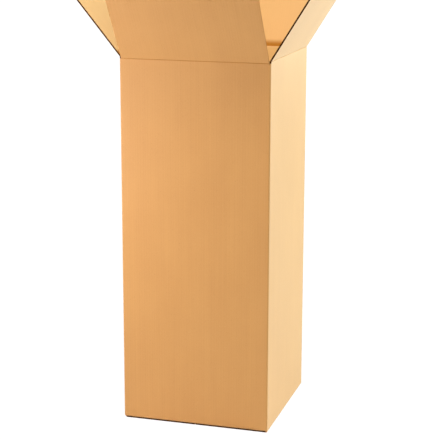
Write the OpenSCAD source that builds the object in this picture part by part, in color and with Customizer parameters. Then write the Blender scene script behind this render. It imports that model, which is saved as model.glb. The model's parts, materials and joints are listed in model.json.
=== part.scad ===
// Tall open carton, folded from one sheet of corrugated board.
// Four walls, a bottom of four glued flaps, and four top flaps that turn on their crushed creases.
// The origin is on the floor under the middle of the box, +Z is up, and the front wall faces -Y.
// The front and back flaps are the inner pair. The side flaps crease one board higher
// and close over them, at the top as at the bottom.

/* [Box] */
// Width over the side walls
box_w = 490; // [300:1:800]
// Depth over the front and back walls
box_d = 490; // [300:1:800]
// Height from the floor to the crease of the side flaps
box_h = 1200; // [500:1:1500]
// Outer radius of the folded edges
fold_r = 5; // [2:0.1:6]

/* [Board] */
// Thickness of the corrugated board
board_t = 5; // [4:0.1:6]
// Thickness of each flat paper facing
liner_t = 0.6; // [0.4:0.05:0.8]
// Thickness of the waved paper between the facings
medium_t = 0.5; // [0.3:0.05:0.6]
// Distance from one flute to the next
flute_pitch = 8.4; // [7:0.1:10]
// How far the flutes stand open at a free edge
flute_depth = 8; // [4:0.5:15]
// Depth of the slit between the facings along a cut beside the flutes
cut_depth = 2; // [1:0.1:3]

/* [Creases] */
// Length of the crushed taper on each side of a crease
score_h = 6; // [5.5:0.1:10]
// Thickness of the crushed paper next to the bend
score_t = 1; // [0.6:0.1:1.1]
// Thickness of the rounded bead at the bend
bead_d = 2; // [1.6:0.1:2.4]
// Gap round the bead, in which the flap turns
bead_gap = 0.3; // [0.2:0.05:0.5]

/* [Top flaps] */
// Gap between two closed flaps that meet in the middle
meet_gap = 1; // [0.5:0.1:4]
// Clearance between a front or back flap and each side wall
inner_clear = 0.7; // [0.3:0.1:2]
// How far the side flaps end short of the front and back faces
slot_inset = 4.5; // [4:0.1:8]
// Gap between the two layers of closed flaps
layer_gap = 0.3; // [0.2:0.05:1]
// Depth of the corner slots below the front crease
slot_drop = 1; // [0:0.1:4]

/* [Lean of the flaps from upright, in degrees] */
// Lean of the front flap
front_lean = 34; // [10:0.5:120]
// Lean of the back flap
back_lean = 33; // [10:0.5:120]
// Lean of the left flap
left_lean = 39.5; // [10:0.5:120]
// Lean of the right flap
right_lean = 32; // [10:0.5:120]

/* [Bottom] */
// Gap between the bottom flaps where they meet
seam_gap = 2; // [0.5:0.1:6]
// Reach of the crushed front left corner along its three edges
crush_reach = 15; // [8:0.5:18]
// Distance from that corner, along each axis, to the middle of its curve
crush_curve = 24; // [22:1:60]

/* [Glued joint] */
// Width of the glue tab inside the back left corner
tab_w = 35; // [20:1:60]
// Thickness of the tab, pressed thinner than the board
tab_t = 3.5; // [2:0.1:5]
// Distance from the creases to the tab's ends
tab_end = 20; // [10:1:60]
// Slant of the tab's ends over its width
tab_slant = 9; // [2:0.5:15]
// How far the back wall's raw end stops short of the left face
joint_inset = 1; // [0.5:0.1:2]
// Outer radius of the tab's fold beside the raw end
joint_r = 3; // [1.5:0.1:4]

/* [Hidden] */
kraft = "#d9a468";
kraft_light = "#e6bb84";
wave_steps = 3;
weld_share = 0.12;
over = 1;

wall_x = box_w / 2;
wall_y = box_d / 2;
side_crease_z = box_h;
front_crease_z = box_h - board_t - layer_gap;
shoulder_z = front_crease_z - score_h;
neck = bead_d / 2 + bead_gap;
front_w = box_w - 2 * board_t - 2 * inner_clear;
side_w = box_d - 2 * slot_inset;
front_len = wall_y - board_t / 2 - meet_gap / 2;
side_len = wall_x - board_t / 2 - meet_gap / 2;
core_t = board_t - 2 * liner_t;
wave_amp = (core_t - medium_t) / 2;
crush_r = sqrt(pow(crush_curve - crush_reach, 2) + 2 * pow(crush_curve, 2));

// Section of a wall's top, with the bend of the crease at the origin
module wall_top_section(drop) {
    polygon([
        [-board_t / 2, -drop],
        [board_t / 2, -drop],
        [board_t / 2, -score_h],
        [score_t / 2, -neck],
        [-score_t / 2, -neck],
        [-board_t / 2, -score_h]
    ]);
    translate([-score_t / 2, -neck]) square([score_t, neck]);
    circle(d = bead_d, $fn = 32);
}

// Section of a flap along its length, with the bend of the crease at the origin
module flap_section(len) {
    polygon([
        [score_t / 2, neck],
        [board_t / 2, score_h],
        [board_t / 2, len],
        [-board_t / 2, len],
        [-board_t / 2, score_h],
        [-score_t / 2, neck]
    ]);
}

// One open flute between the waved paper and a facing
module flute_cell() {
    wave = [for (k = [0 : wave_steps])
        let (u = weld_share + (1 - 2 * weld_share) * k / wave_steps)
        [flute_pitch * u, wave_amp * cos(360 * u) + medium_t / 2]];
    polygon(concat(wave, [
        [wave[wave_steps][0], core_t / 2],
        [wave[0][0], core_t / 2]
    ]));
}

// A row of open flutes on both sides of the waved paper, centred on the edge
module flute_row(width) {
    count = floor((width - 2 * cut_depth - flute_pitch) / flute_pitch);
    for (i = [0 : count - 1]) {
        translate([(i - count / 2) * flute_pitch, 0]) flute_cell();
        translate([(i + 0.5 - count / 2) * flute_pitch, 0]) mirror([0, 1]) flute_cell();
    }
}

// A top flap standing upright on its crease, with its outer face towards -Y
module flap_board(width, len) {
    difference() {
        rotate([90, 0, 90]) linear_extrude(width, center = true) flap_section(len);
        translate([0, 0, len - flute_depth]) linear_extrude(flute_depth + over) flute_row(width);
        for (side = [-1, 1])
            translate([side * width / 2 - cut_depth, -core_t / 2, score_h])
                cube([2 * cut_depth, core_t, len]);
    }
}

// A top flap in its place: turn is the side of the box and reach its distance from the middle
module top_flap(turn, reach, crease_z, lean, width, len) {
    rotate([0, 0, turn])
        translate([0, board_t / 2 - reach, crease_z])
            rotate([lean, 0, 0]) flap_board(width, len);
}

// Outline of the walls from above, with three folds and the glued joint at the back left
module outer_plan() {
    difference() {
        union() {
            square([box_w - 2 * fold_r, box_d], center = true);
            square([box_w, box_d - 2 * fold_r], center = true);
            for (corner = [[-1, -1], [1, -1], [1, 1]])
                translate([corner[0] * (wall_x - fold_r), corner[1] * (wall_y - fold_r)])
                    circle(fold_r, $fn = 48);
            translate([-wall_x, wall_y - 2 * fold_r]) square(2 * fold_r);
        }
        translate([-wall_x - over, wall_y - board_t]) square([joint_inset + over, board_t + over]);
        translate([-wall_x - over, wall_y - board_t + liner_t])
            square([joint_inset + cut_depth + over, core_t]);
        translate([-wall_x, wall_y - board_t - joint_r]) difference() {
            translate([-over, 0]) square([joint_r + over, joint_r]);
            translate([joint_r, 0]) circle(joint_r, $fn = 48);
        }
    }
}

module wall_plan() {
    difference() {
        outer_plan();
        square([box_w - 2 * board_t, box_d - 2 * board_t], center = true);
    }
}

// Crushed tops of the walls, and the corners between the slots
module wall_tops() {
    for (turn = [0, 180])
        rotate([0, 0, turn])
            translate([0, board_t / 2 - wall_y, front_crease_z])
                rotate([90, 0, 90]) linear_extrude(front_w, center = true)
                    wall_top_section(score_h);
    for (turn = [90, 270])
        rotate([0, 0, turn])
            translate([0, board_t / 2 - wall_x, side_crease_z])
                rotate([90, 0, 90]) linear_extrude(side_w, center = true)
                    wall_top_section(side_crease_z - shoulder_z);
    translate([0, 0, shoulder_z]) linear_extrude(score_h - slot_drop) difference() {
        wall_plan();
        square([box_w - 2 * board_t, box_d + 2 * over], center = true);
        square([box_w + 2 * over, box_d - 2 * board_t], center = true);
    }
}

// Bottom flaps: the front and back ones lie on the side ones and are glued to them
module bottom_flaps() {
    linear_extrude(board_t) difference() {
        intersection() {
            outer_plan();
            square([box_w + 2 * over, side_w], center = true);
        }
        square([seam_gap, box_d], center = true);
    }
    translate([0, 0, board_t]) linear_extrude(board_t) difference() {
        square([box_w - board_t, box_d - board_t], center = true);
        square([box_w, seam_gap], center = true);
    }
}

// What a fold takes off a square edge along X, from the edge at the origin
module fold_cut(len) {
    rotate([90, 0, 90]) linear_extrude(len, center = true) difference() {
        translate([-over, -over]) square(fold_r + over);
        translate([fold_r, fold_r]) circle(fold_r, $fn = 48);
    }
}

// The slit in each end of the side bottom flaps, where the knife ran along a flute
module bottom_end_slits() {
    for (side_x = [-1, 1], side_y = [-1, 1])
        translate([side_x * wall_x / 2, side_y * side_w / 2, board_t / 2])
            cube([wall_x - 2 * fold_r, 2 * cut_depth, core_t], center = true);
}

// The front left bottom corner has been pushed in round
module crushed_corner() {
    translate([-wall_x, -wall_y, 0]) difference() {
        translate([-over, -over, -over]) cube(crush_reach + over);
        translate([crush_curve, crush_curve, crush_curve]) sphere(crush_r, $fn = 96);
    }
}

// The tab that joins the ends of the sheet, glued inside the back wall
module glue_tab() {
    low = 2 * board_t + tab_end;
    high = shoulder_z - tab_end;
    translate([board_t - wall_x, wall_y - board_t, 0])
        rotate([90, 0, 0]) linear_extrude(tab_t)
            polygon([[0, low], [tab_w, low + tab_slant], [tab_w, high - tab_slant], [0, high]]);
}

module box_body() {
    color(kraft) {
        difference() {
            union() {
                translate([0, 0, board_t]) linear_extrude(shoulder_z - board_t) wall_plan();
                wall_tops();
                bottom_flaps();
            }
            for (turn = [0, 180])
                rotate([0, 0, turn]) translate([0, -wall_y, board_t]) fold_cut(box_w + 2 * over);
            for (turn = [90, 270])
                rotate([0, 0, turn]) translate([0, -wall_x, 0]) fold_cut(box_d + 2 * over);
            bottom_end_slits();
            crushed_corner();
        }
        glue_tab();
    }
}

module front_flap() {
    color(kraft) top_flap(0, wall_y, front_crease_z, front_lean, front_w, front_len);
}

module back_flap() {
    color(kraft) top_flap(180, wall_y, front_crease_z, back_lean, front_w, front_len);
}

module left_flap() {
    color(kraft_light) top_flap(270, wall_x, side_crease_z, left_lean, side_w, side_len);
}

module right_flap() {
    color(kraft_light) top_flap(90, wall_x, side_crease_z, right_lean, side_w, side_len);
}

box_body();
front_flap();
back_flap();
left_flap();
right_flap();
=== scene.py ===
"""Open cardboard carton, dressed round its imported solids: camera, light, kraft board and creases."""

import json
import math

import bmesh
import bpy
from mathutils import Matrix, Vector


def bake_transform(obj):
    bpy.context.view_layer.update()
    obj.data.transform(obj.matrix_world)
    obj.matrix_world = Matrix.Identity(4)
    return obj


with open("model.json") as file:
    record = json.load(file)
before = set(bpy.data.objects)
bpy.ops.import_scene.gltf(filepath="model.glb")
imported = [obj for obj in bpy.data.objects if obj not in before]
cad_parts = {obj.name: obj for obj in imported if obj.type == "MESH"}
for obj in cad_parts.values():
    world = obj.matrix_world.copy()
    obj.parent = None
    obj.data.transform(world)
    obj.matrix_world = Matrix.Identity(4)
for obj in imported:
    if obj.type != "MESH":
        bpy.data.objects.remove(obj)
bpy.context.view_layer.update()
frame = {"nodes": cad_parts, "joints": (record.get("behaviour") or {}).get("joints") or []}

# Camera: a little above the mouth of the box and to its right.
# Its place, turn and lens come from the box's six visible corners, with no lens shift.
scene = bpy.context.scene
camera_place = Vector((1.264, -4.246, 1.668))
camera_yaw = math.radians(16.42)
camera_pitch = math.radians(13.11)
camera_roll = math.radians(0.14)

camera = bpy.data.objects.new("camera", bpy.data.cameras.new("camera"))
scene.collection.objects.link(camera)
turn = Matrix.Rotation(camera_yaw, 4, "Z") @ Matrix.Rotation(math.pi / 2 - camera_pitch, 4, "X")
camera.matrix_world = Matrix.Translation(camera_place) @ turn @ Matrix.Rotation(camera_roll, 4, "Z")
camera.data.sensor_width = 36
camera.data.lens = 111.3
camera.data.clip_end = 60
scene.camera = camera

# Light: a plain white studio, faint and even all round. Two large lamps stand on the right, one
# of them behind, one hangs over the mouth, and a weak one stands in front on the right. Two near
# the left make the front wall and the front flap darken to the right.
lamps = [
    # name, place, aim, width in metres, power in watts, colour
    ("side_lamp", (3.2, 1.0, 0.9), (0.2, 0, 0.5), 1.6, 59, "#e8fafa"),
    ("back_lamp", (2.1, 2.9, 1.9), (0.2, 0, 0.8), 1.6, 118, "#e8fafa"),
    ("top_lamp", (0.2, -0.9, 3.6), (0, 0, 1.2), 1.2, 49, "#fff4e6"),
    ("front_lamp", (2.2, -3.2, 0.9), (0.1, -0.2, 0.6), 1.2, 8, "#fff0dc"),
    ("left_lamp", (-1.3, -1.5, 1.9), (-0.2, -0.2, 1.0), 0.6, 21, "#f4eeff"),
    ("low_left_lamp", (-1.0, -1.0, 0.8), (-0.2, -0.2, 0.7), 0.5, 8.8, "#f4f0ff"),
]
room_light = 0.15
room_colour = "#fff0e4"


def linear(hex_colour):
    """An sRGB hex colour as linear red, green, blue and alpha."""
    parts = [int(hex_colour[i:i + 2], 16) / 255 for i in (1, 3, 5)]
    return [c / 12.92 if c <= 0.04045 else ((c + 0.055) / 1.055) ** 2.4 for c in parts] + [1]


def add(tree, kind, inputs=(), **settings):
    """One node. An input is a value, a socket, or a node, which gives its first output in use."""
    node = tree.nodes.new(kind)
    for name, value in settings.items():
        setattr(node, name, value)
    for key, value in dict(inputs).items():
        if isinstance(value, bpy.types.Node):
            value = next(socket for socket in value.outputs if socket.enabled)
        if isinstance(value, bpy.types.NodeSocket):
            tree.links.new(value, node.inputs[key])
        else:
            node.inputs[key].default_value = value
    return node


def direct_sight(tree):
    """1 where the camera sees the surface straight or mirrored, and 0 for all other light."""
    path = add(tree, "ShaderNodeLightPath")
    return add(tree, "ShaderNodeMath", {
        0: path.outputs["Is Camera Ray"],
        1: path.outputs["Is Glossy Ray"],
    }, operation="MAXIMUM")


for name, place, aim, size, power, colour in lamps:
    light = bpy.data.lights.new(name, "AREA")
    light.shape = "DISK"
    light.size = size
    light.energy = power
    light.color = linear(colour)[:3]
    holder = bpy.data.objects.new(name, light)
    scene.collection.objects.link(holder)
    look = (Vector(aim) - Vector(place)).to_track_quat("-Z", "Y")
    holder.matrix_world = Matrix.Translation(place) @ look.to_matrix().to_4x4()

world = bpy.data.worlds.new("pale_studio")
world.use_nodes = True
scene.world = world
sky = world.node_tree
sky.nodes.clear()
seen = direct_sight(sky)
strength = add(sky, "ShaderNodeMapRange", {"Value": seen, "To Min": room_light, "To Max": 1})
tint = add(sky, "ShaderNodeMix", {0: seen, 6: linear(room_colour), 7: (1, 1, 1, 1)}, data_type="RGBA")
room = add(sky, "ShaderNodeBackground", {"Color": tint, "Strength": strength})
add(sky, "ShaderNodeOutputWorld", {"Surface": room})

scene.view_settings.view_transform = "Standard"

# Floor: white studio paper, laid flat under the box.
# The camera sees it as white, apart from the box's soft shadow, which fades out over a few metres.
floor_size = 40
floor_drop = 0.0002
floor_glow = 0.88
glow_strength = 1.08
shadow_start = 0.6
shadow_end = 3
paper_white = "#f0f0ee"


def new_material(name):
    """A new material with nothing in it, and its node tree."""
    made = bpy.data.materials.new(name)
    made.use_nodes = True
    made.node_tree.nodes.clear()
    return made, made.node_tree


bm = bmesh.new()
bmesh.ops.create_grid(bm, x_segments=1, y_segments=1, size=floor_size / 2)
floor_mesh = bpy.data.meshes.new("floor")
bm.to_mesh(floor_mesh)
bm.free()
floor = bpy.data.objects.new("floor", floor_mesh)
scene.collection.objects.link(floor)
floor.location.z = -floor_drop

paper, tree = new_material("white_studio_paper")
seen = direct_sight(tree)
spot = add(tree, "ShaderNodeTexCoord")
away = add(tree, "ShaderNodeVectorMath", {0: spot.outputs["Object"]}, operation="LENGTH")
reach = add(tree, "ShaderNodeMapRange", {
    "Value": away.outputs["Value"],
    "From Min": shadow_start, "From Max": shadow_end, "To Min": floor_glow, "To Max": 1,
})
share = add(tree, "ShaderNodeMath", {0: seen, 1: reach}, operation="MULTIPLY")
matt = add(tree, "ShaderNodeBsdfDiffuse", {"Color": linear(paper_white)})
glow = add(tree, "ShaderNodeEmission", {"Color": (1, 1, 1, 1), "Strength": glow_strength})
both = add(tree, "ShaderNodeMixShader", {0: share, 1: matt, 2: glow})
add(tree, "ShaderNodeOutputMaterial", {"Surface": both})
floor_mesh.materials.append(paper)

# Box body: four walls and a glued bottom, folded from one sheet of 5 mm A flute board.
# The flutes run up the walls and on into the bottom flaps. The sheet's cut ends are painted dark,
# with the core's brown and painted shade, and the inside faces are painted paler, as painted light.
MM = 0.001  # one millimetre in metres: the sizes from here on are in millimetres
flute_pitch = 8.4
flute_tone = 0.03
flute_rise = 0.012
fibre_rise = 0.045
kraft_dark = "#ca9250"
kraft_pale = "#e0aa63"
fibre_pale = "#e9cf90"
fibre_dark = "#ae793d"
fleck_brown = "#895b2c"
sheen_tint = "#fffff4"
# The core's own brown, darkened with painted shade of its open flutes.
core_shade_brown = "#4c2600"
inner_light_colour = "#f5cd82"
inner_light_half_width = 240.2
inner_light_bottom = 7
face_seeds = Vector((13, 29, 47))


def surface_mm(tree):
    """The point on the object itself in millimetres, and the normal there."""
    where = add(tree, "ShaderNodeTexCoord")
    point = add(tree, "ShaderNodeVectorMath", {
        0: where.outputs["Object"], "Scale": 1 / MM,
    }, operation="SCALE")
    return point, where.outputs["Normal"]


# Kraft liner: unbleached brown paper over A flutes. It is matt, with soft clouds of tone, pale and
# dark fibres, a few flecks and the faint lines of the flutes, and it pales at a low angle.
# Paper that is cut has no such sheen, and nor has the painted shade at the creases.
def kraft(tree, across, along, seed, colour_layers, dull):
    """Liner shader. across and along are the place in mm, square to the flutes and with them,
    the colour layers are (share, colour) pairs laid over the paper: cut ends and cores, painted light
    and painted shade, and dull is 1 where the paper is cut and in the painted crease shade."""
    def noise(width, length, detail, offset):
        """A pattern with spots of this width and length in mm, set apart by its offset."""
        return add(tree, "ShaderNodeTexNoise", {
            "Vector": add(tree, "ShaderNodeCombineXYZ", {
                0: add(tree, "ShaderNodeMath", {0: across, 1: width}, operation="DIVIDE"),
                1: add(tree, "ShaderNodeMath", {0: along, 1: length}, operation="DIVIDE"),
                2: add(tree, "ShaderNodeMath", {0: seed, 1: offset}, operation="ADD"),
            }),
            "Scale": 1, "Detail": detail, "Roughness": 0.55,
        })

    turns = add(tree, "ShaderNodeMath", {0: across, 1: 2 * math.pi / flute_pitch}, operation="MULTIPLY")
    wave = add(tree, "ShaderNodeMath", {0: turns}, operation="SINE")
    cloud = noise(150, 210, 3, 1.7)
    band = noise(30, 900, 2, 9.3)
    streak = noise(5, 420, 2, 4.1)
    fibre = noise(0.9, 7, 3, 2.9)
    fleck = noise(1.4, 3.2, 1, 6.5)

    tone = 0.5
    for value, reach in ((cloud, 0.09), (band, 0.045), (streak, 0.05)):
        part = add(tree, "ShaderNodeMapRange", {
            "Value": value, "From Min": 0.3, "From Max": 0.7, "To Min": -reach, "To Max": reach,
        })
        tone = add(tree, "ShaderNodeMath", {0: part, 1: tone}, operation="ADD")
    tone = add(tree, "ShaderNodeMath", {0: wave, 1: flute_tone, 2: tone}, operation="MULTIPLY_ADD")
    shade = add(tree, "ShaderNodeValToRGB", {0: tone})
    shade.color_ramp.elements[0].color = linear(kraft_dark)
    shade.color_ramp.elements[1].color = linear(kraft_pale)
    colour = shade
    for value, low, high, share, hex_colour in (
        (fibre, 0.56, 0.72, 0.13, fibre_pale),
        (fibre, 0.42, 0.3, 0.1, fibre_dark),
        (fleck, 0.7, 0.76, 0.3, fleck_brown),
    ):
        part = add(tree, "ShaderNodeMapRange", {
            "Value": value, "From Min": low, "From Max": high, "To Min": 0, "To Max": share,
        })
        colour = add(tree, "ShaderNodeMix", {0: part, 6: colour, 7: linear(hex_colour)}, data_type="RGBA")
    for share, hex_colour in colour_layers:
        colour = add(tree, "ShaderNodeMix", {0: share, 6: colour, 7: linear(hex_colour)}, data_type="RGBA")

    rise = add(tree, "ShaderNodeMath", {0: wave, 1: flute_rise}, operation="MULTIPLY")
    height = add(tree, "ShaderNodeMath", {0: fibre, 1: fibre_rise, 2: rise}, operation="MULTIPLY_ADD")
    bump = add(tree, "ShaderNodeBump", {"Strength": 0.6, "Distance": MM, "Height": height})
    skin = add(tree, "ShaderNodeBsdfPrincipled", {
        "Base Color": colour, "Roughness": 0.5, "IOR": 1.5, "Specular IOR Level": 0.35,
        "Sheen Weight": 0.65, "Sheen Roughness": 0.3, "Sheen Tint": linear(sheen_tint), "Normal": bump,
    })
    matt_skin = add(tree, "ShaderNodeBsdfDiffuse", {"Color": colour, "Normal": bump})
    board = add(tree, "ShaderNodeMixShader", {0: dull, 1: skin, 2: matt_skin})
    add(tree, "ShaderNodeOutputMaterial", {"Surface": board})


made, tree = new_material("kraft_liner_body")
point, normal = surface_mm(tree)
at = add(tree, "ShaderNodeSeparateXYZ", {0: point})

# The normal, rounded to -1, 0 or 1 on each axis, tells the faces apart.
half_up = add(tree, "ShaderNodeVectorMath", {0: normal, 1: (0.5, 0.5, 0.5)}, operation="ADD")
faces = add(tree, "ShaderNodeVectorMath", {0: half_up}, operation="FLOOR")
face = add(tree, "ShaderNodeSeparateXYZ", {0: faces})
seed = add(tree, "ShaderNodeVectorMath", {0: faces, 1: face_seeds}, operation="DOT_PRODUCT")

# Across and along the flutes: over x or y and up on a wall, and level on the bottom.
to_side = add(tree, "ShaderNodeMath", {0: face.outputs[0]}, operation="ABSOLUTE")
to_floor = add(tree, "ShaderNodeMath", {0: face.outputs[2], 1: -1}, operation="MULTIPLY")
flat = add(tree, "ShaderNodeMath", {0: face.outputs[2]}, operation="ABSOLUTE")
turned = add(tree, "ShaderNodeMath", {0: to_side, 1: to_floor}, operation="MAXIMUM")
across = add(tree, "ShaderNodeMix", {0: turned, 2: at.outputs[0], 3: at.outputs[1]}, data_type="FLOAT")
level = add(tree, "ShaderNodeMix", {0: to_floor, 2: at.outputs[1], 3: at.outputs[0]}, data_type="FLOAT")
along = add(tree, "ShaderNodeMix", {0: flat, 2: at.outputs[2], 3: level}, data_type="FLOAT")

# Cut ends, painted with the core's brown and painted shade: each is a block with a low and a
# high corner, and all but the last are mirrored.
mirrored = add(tree, "ShaderNodeVectorMath", {0: point}, operation="ABSOLUTE")
cut = 0
for source, low, high in (
    (mirrored, (-1, 238.4, 0.4), (238, 240.7, 4.6)),  # ends of the side bottom flaps
    (mirrored, (-1, -1, 5.5), (236, 1.3, 9.5)),  # where the front and back bottom flaps meet
    (mirrored, (-1, -1, 0.5), (1.3, 236, 4.5)),  # where the side bottom flaps meet
    (point, (-244.1, 240.5, 6), (-241, 244.5, 1200)),  # raw end of the back wall, beside the glue tab
):
    above = add(tree, "ShaderNodeVectorMath", {0: source, 1: low}, operation="SUBTRACT")
    below = add(tree, "ShaderNodeVectorMath", {0: high, 1: source}, operation="SUBTRACT")
    least = add(tree, "ShaderNodeVectorMath", {0: above, 1: below}, operation="MINIMUM")
    part = add(tree, "ShaderNodeSeparateXYZ", {0: least})
    edge = add(tree, "ShaderNodeMath", {0: part.outputs[0], 1: part.outputs[1]}, operation="MINIMUM")
    edge = add(tree, "ShaderNodeMath", {0: edge, 1: part.outputs[2]}, operation="MINIMUM")
    within = add(tree, "ShaderNodeMath", {0: edge, 1: 0}, operation="GREATER_THAN")
    cut = add(tree, "ShaderNodeMath", {0: within, 1: cut}, operation="MAXIMUM")

# Painted light: the inside faces, above the bottom, are paler.
side = add(tree, "ShaderNodeSeparateXYZ", {0: mirrored})
widest = add(tree, "ShaderNodeMath", {0: side.outputs[0], 1: side.outputs[1]}, operation="MAXIMUM")
inside = add(tree, "ShaderNodeMath", {0: widest, 1: inner_light_half_width}, operation="LESS_THAN")
raised = add(tree, "ShaderNodeMath", {0: at.outputs[2], 1: inner_light_bottom}, operation="GREATER_THAN")
inside = add(tree, "ShaderNodeMath", {0: inside, 1: raised}, operation="MULTIPLY")
kraft(tree, across, along, seed, [(inside, inner_light_colour), (cut, core_shade_brown)], cut)

body = frame["nodes"]["box_body"]
body.data.materials.clear()
body.data.materials.append(made)

# Top flaps: four panels of the same sheet, cut apart at the corners and leaning out. The side
# flaps' cut edges are painted dark, with the core's brown and painted shade, and a band of painted
# shade darkens each inner face towards its crease.
# Heights and depths are in mm, from the crease and from the middle of the board.
cut_brown = "#b98450"
cut_painted_light = "#cf9c60"
# Colour of the painted shade at the creases.
pressed_brown = "#b4782c"
cut_colours = {
    # the cut edge itself, and the open core along its middle
    # The front and back flaps' edges and cores are painted pale, as painted light.
    "front_flap": (cut_painted_light, cut_painted_light),
    "back_flap": (cut_painted_light, cut_painted_light),
    # The side flaps' cores, and all of the right flap's edge, are painted shade over the core's brown.
    "left_flap": (cut_brown, core_shade_brown),
    "right_flap": (core_shade_brown, core_shade_brown),
}
# How far painted light pales each flap's inner face.
inner_light_shares = {"front_flap": 0.4, "back_flap": 0.42, "left_flap": 0.6, "right_flap": 0.4}
shade_band_top = 32
shade_band_full = 7
core_half = 1.95
taper_top = 6.01
edge_cosine = 0.3
end_cosine = 0.9


def flap_place(joint):
    """A flap's lean, its hinge, and the directions outward, along its crease and up the flap."""
    lean = math.radians(-joint["range_deg"][0] - 90)
    hinge = Vector(joint["pos_m"])
    outward = Vector((hinge.x, hinge.y, 0)).normalized()
    level = Vector((abs(outward.y), abs(outward.x), 0))
    up_flap = outward * math.sin(lean) + Vector((0, 0, math.cos(lean)))
    return lean, hinge, outward, level, up_flap


for joint in frame["joints"]:
    name = joint["child"]
    flap = frame["nodes"][name]
    lean, hinge, outward, level, up_flap = flap_place(joint)
    face_out = outward * math.cos(lean) - Vector((0, 0, math.sin(lean)))
    wall_seed = face_seeds.dot(outward)
    edge_colour, open_colour = cut_colours[name]

    made, tree = new_material("kraft_liner_" + name)
    point, normal = surface_mm(tree)
    from_hinge = add(tree, "ShaderNodeVectorMath", {0: point, 1: hinge / MM}, operation="SUBTRACT")
    across = add(tree, "ShaderNodeVectorMath", {0: from_hinge, 1: level}, operation="DOT_PRODUCT")
    up = add(tree, "ShaderNodeVectorMath", {0: from_hinge, 1: up_flap}, operation="DOT_PRODUCT")
    through = add(tree, "ShaderNodeVectorMath", {0: from_hinge, 1: face_out}, operation="DOT_PRODUCT")
    across, up, through = (node.outputs["Value"] for node in (across, up, through))
    along = add(tree, "ShaderNodeMath", {0: up, 1: hinge.z / MM}, operation="ADD")
    inner = add(tree, "ShaderNodeMath", {0: through, 1: 0}, operation="LESS_THAN")
    seed = add(tree, "ShaderNodeMath", {0: inner, 1: -2 * wall_seed, 2: wall_seed}, operation="MULTIPLY_ADD")
    # Painted light: the inner face is paler.
    inner_light = add(tree, "ShaderNodeMath", {0: inner, 1: inner_light_shares[name]}, operation="MULTIPLY")
    # Painted shade: a band on the inner face that darkens towards the crease.
    fade = add(tree, "ShaderNodeMapRange", {
        "Value": up, "From Min": shade_band_top, "From Max": shade_band_full, "To Min": 0, "To Max": 1,
    }, interpolation_type="SMOOTHSTEP")
    band = add(tree, "ShaderNodeMath", {0: inner, 1: fade}, operation="MULTIPLY")

    # Cut edges are the faces that don't look out or in. The open core is the middle of them, but
    # not along the free edge.
    faced = add(tree, "ShaderNodeVectorMath", {0: normal, 1: face_out}, operation="DOT_PRODUCT")
    faced = add(tree, "ShaderNodeMath", {0: faced.outputs["Value"]}, operation="ABSOLUTE")
    edge = add(tree, "ShaderNodeMath", {0: faced, 1: edge_cosine}, operation="LESS_THAN")
    topped = add(tree, "ShaderNodeVectorMath", {0: normal, 1: up_flap}, operation="DOT_PRODUCT")
    not_end = add(tree, "ShaderNodeMath", {
        0: topped.outputs["Value"], 1: end_cosine,
    }, operation="LESS_THAN")
    depth = add(tree, "ShaderNodeMath", {0: through}, operation="ABSOLUTE")
    in_core = add(tree, "ShaderNodeMath", {0: depth, 1: core_half}, operation="LESS_THAN")
    past = add(tree, "ShaderNodeMath", {0: up, 1: taper_top}, operation="GREATER_THAN")
    core = add(tree, "ShaderNodeMath", {0: in_core, 1: past}, operation="MULTIPLY")
    core = add(tree, "ShaderNodeMath", {0: core, 1: not_end}, operation="MULTIPLY")
    dull = add(tree, "ShaderNodeMath", {0: edge, 1: band}, operation="MAXIMUM")
    kraft(tree, across, along, seed, [
        (inner_light, inner_light_colour), (band, pressed_brown), (edge, edge_colour), (core, open_colour),
    ], dull)
    flap.data.materials.clear()
    flap.data.materials.append(made)

# Creases: where a flap turns, the board is crushed flat, and its two liners run on from the wall
# to the flap, with a fine scored groove on each side. Painted shade darkens the outer groove and
# the flap side of the inner face. Heights and depths are in mm, from the bend and from the middle
# of the board.
crease_heights = [-6.6, -4.4, -3, -2.1, -1.5, -1, -0.6, -0.3, 0, 0.3, 0.6, 1, 1.5, 2.1, 3, 4.4, 6.6]
crease_face = 2.53
side_lap = 0.3
bend_reach = 2.2
groove_depth = 0.4
outer_groove = 1.6
inner_groove = 1.4
# Painted shade: its strength in the outer groove, and where it starts and grows on the inner face.
outer_shade = 0.8
shade_start = 0.3
shade_rise = 1.5
inner_light_fade = 2
sharp_angle = 0.7

# Core at the two ends of a crease: the core's brown, darkened with painted shade, rough and
# with hardly any shine.
crushed, tree = new_material("kraft_core_and_shade")
skin = add(tree, "ShaderNodeBsdfPrincipled", {
    "Base Color": linear(core_shade_brown), "Roughness": 1, "Specular IOR Level": 0.1,
})
add(tree, "ShaderNodeOutputMaterial", {"Surface": skin})

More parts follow.
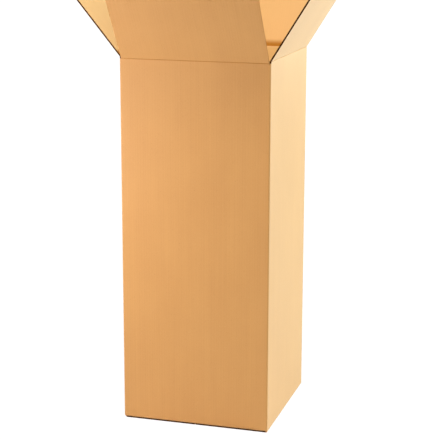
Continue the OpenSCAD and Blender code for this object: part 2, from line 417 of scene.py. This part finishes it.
for joint in frame["joints"]:
    name = joint["child"]
    lean, hinge, outward, level, up_flap = flap_place(joint)
    wall_seed = face_seeds.dot(outward)
    reach = [v.co.dot(level) for v in frame["nodes"][name].data.vertices]
    width = max(reach) - min(reach) + side_lap * MM

    # The crease's section, up its outer face and down its inner one, is extruded over its width.
    bm = bmesh.new()
    # The layer holds the painted shade of each point.
    pressed = bm.verts.layers.float.new("pressed")
    ring = []
    for side, groove in ((1, outer_groove), (-1, inner_groove)):
        for height in crease_heights[::side]:
            dip = math.exp(-((height / groove) ** 2))
            depth = side * (crease_face - groove_depth * dip)
            bent = min(1, max(0, (height + bend_reach) / (2 * bend_reach)))
            angle = lean * bent * bent * (3 - 2 * bent)
            out = depth * math.cos(angle) + height * math.sin(angle)
            rise = height * math.cos(angle) - depth * math.sin(angle)
            vert = bm.verts.new(hinge + (outward * out + Vector((0, 0, rise))) * MM - level * width / 2)
            inner_shade = min(1, max(0, (height - shade_start) / shade_rise))
            vert[pressed] = outer_shade * dip if side > 0 else inner_shade
            ring.append(vert)
    end = bm.faces.new(ring)
    grown = bmesh.ops.extrude_face_region(bm, geom=[end], use_keep_orig=True)
    moved = [v for v in grown["geom"] if isinstance(v, bmesh.types.BMVert)]
    bmesh.ops.translate(bm, verts=moved, vec=level * width)
    bmesh.ops.recalc_face_normals(bm, faces=bm.faces)
    for line in bm.edges:
        line.smooth = line.calc_face_angle(0) < sharp_angle
    for polygon in bm.faces:
        polygon.smooth = True
        polygon.material_index = 0 if len(polygon.verts) == 4 else 1
    crease_name = name.replace("flap", "crease")
    mesh = bpy.data.meshes.new(crease_name)
    bm.to_mesh(mesh)
    bm.free()
    crease = bpy.data.objects.new(crease_name, mesh)
    scene.collection.objects.link(crease)

    made, tree = new_material("kraft_liner_" + crease_name)
    point, normal = surface_mm(tree)
    across = add(tree, "ShaderNodeVectorMath", {0: point, 1: level}, operation="DOT_PRODUCT")
    along = add(tree, "ShaderNodeSeparateXYZ", {0: point})
    faced = add(tree, "ShaderNodeVectorMath", {0: normal, 1: outward}, operation="DOT_PRODUCT")
    inner = add(tree, "ShaderNodeMath", {0: faced.outputs["Value"], 1: 0}, operation="LESS_THAN")
    seed = add(tree, "ShaderNodeMath", {0: inner, 1: -2 * wall_seed, 2: wall_seed}, operation="MULTIPLY_ADD")
    # Painted light: the inner face pales from the flap's share to the full amount on the wall side.
    share = add(tree, "ShaderNodeMapRange", {
        "Value": along.outputs[2],
        "From Min": hinge.z / MM + inner_light_fade, "From Max": hinge.z / MM - inner_light_fade,
        "To Min": inner_light_shares[name], "To Max": 1,
    })
    inner_light = add(tree, "ShaderNodeMath", {0: inner, 1: share}, operation="MULTIPLY")
    # Painted shade at the crease, read from the layer.
    press = add(tree, "ShaderNodeAttribute", attribute_name="pressed")
    kraft(tree, across.outputs["Value"], along.outputs[2], seed, [
        (inner_light, inner_light_colour), (press.outputs["Fac"], pressed_brown),
    ], press.outputs["Fac"])
    mesh.materials.append(made)
    mesh.materials.append(crushed)
    low = hinge - Vector((0, 0, bend_reach * MM))
    high = hinge + up_flap * bend_reach * MM
    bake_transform(crease)
